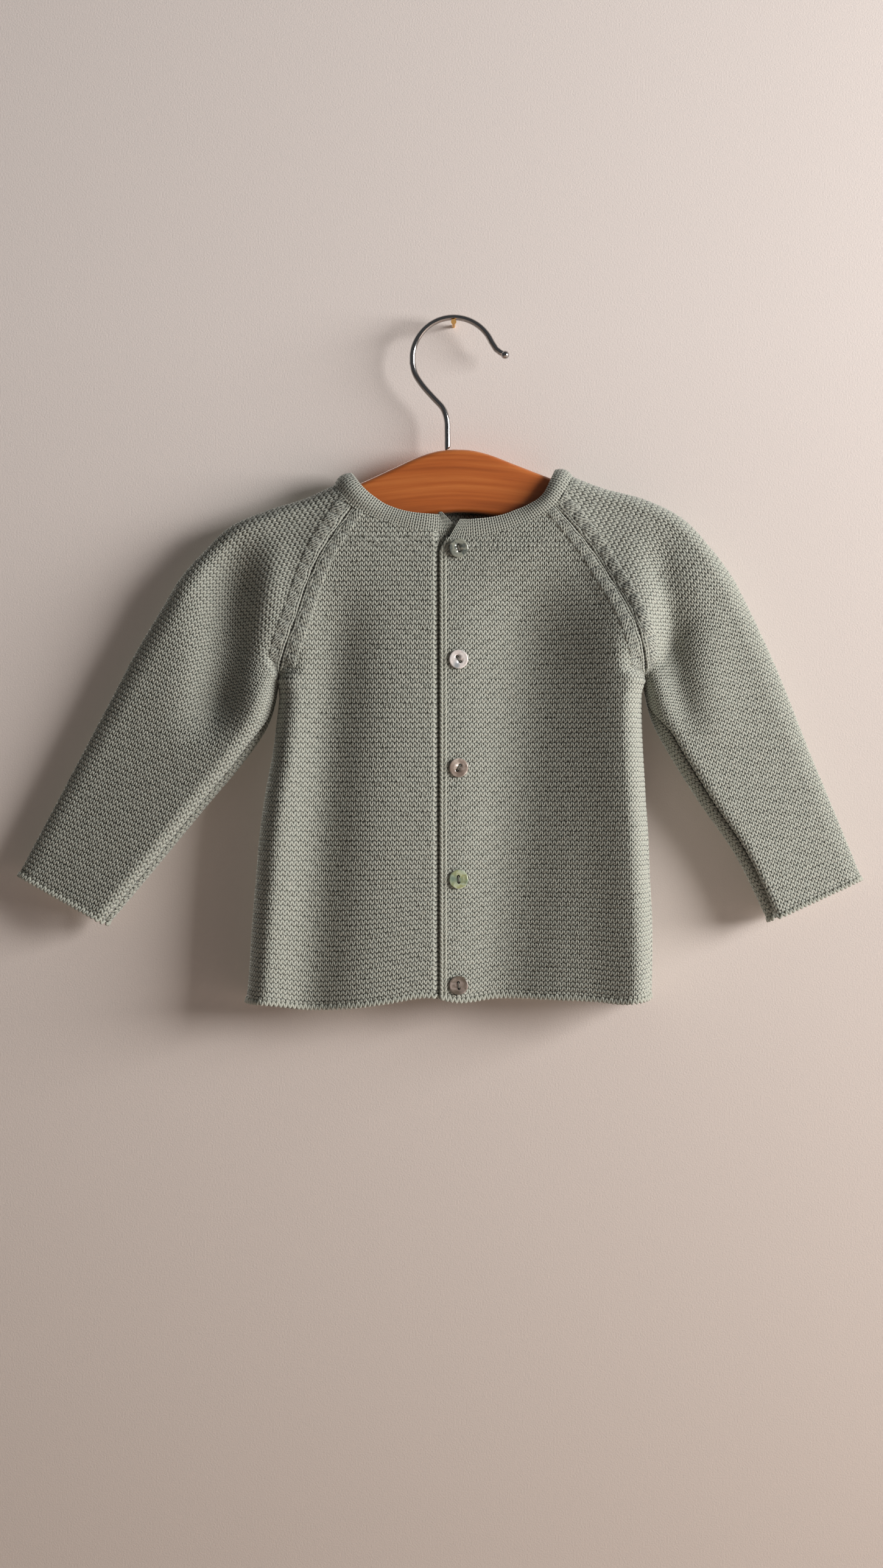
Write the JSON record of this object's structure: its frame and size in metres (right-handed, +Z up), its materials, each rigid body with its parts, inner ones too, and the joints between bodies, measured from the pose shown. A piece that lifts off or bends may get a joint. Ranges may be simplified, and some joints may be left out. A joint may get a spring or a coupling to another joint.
{
  "type": "baby cardigan on a hanger",
  "caption": "Knitted baby cardigan with raglan sleeves, a plain neckband and a buttoned front, hanging flat on a small wooden hanger with a wire hook.",
  "frame": {"origin": "the highest point inside the hanger's hook, where a nail or a rail holds it", "axes": "+Z up, the front faces -Y, +X towards the viewer's right, which is the wearer's left"},
  "size_m": [0.5087, 0.0428, 0.4196],
  "materials": {
    "knit": "matte wool in garter stitch",
    "neckband_knit": "matte wool in stocking stitch",
    "shell": "mother-of-pearl",
    "wood": "satin lacquer",
    "chrome": "polished wire"
  },
  "bodies": {
    "root": {"back": "knit", "front_right": "knit", "front_left": "knit", "sleeve_right": "knit", "sleeve_left": "knit", "neckband": "neckband_knit", "button_1": "shell", "button_2": "shell", "button_3": "shell", "button_4": "shell", "button_5": "shell", "hanger_board": "wood", "hanger_hook": "chrome"}
  },
  "joints": []
}
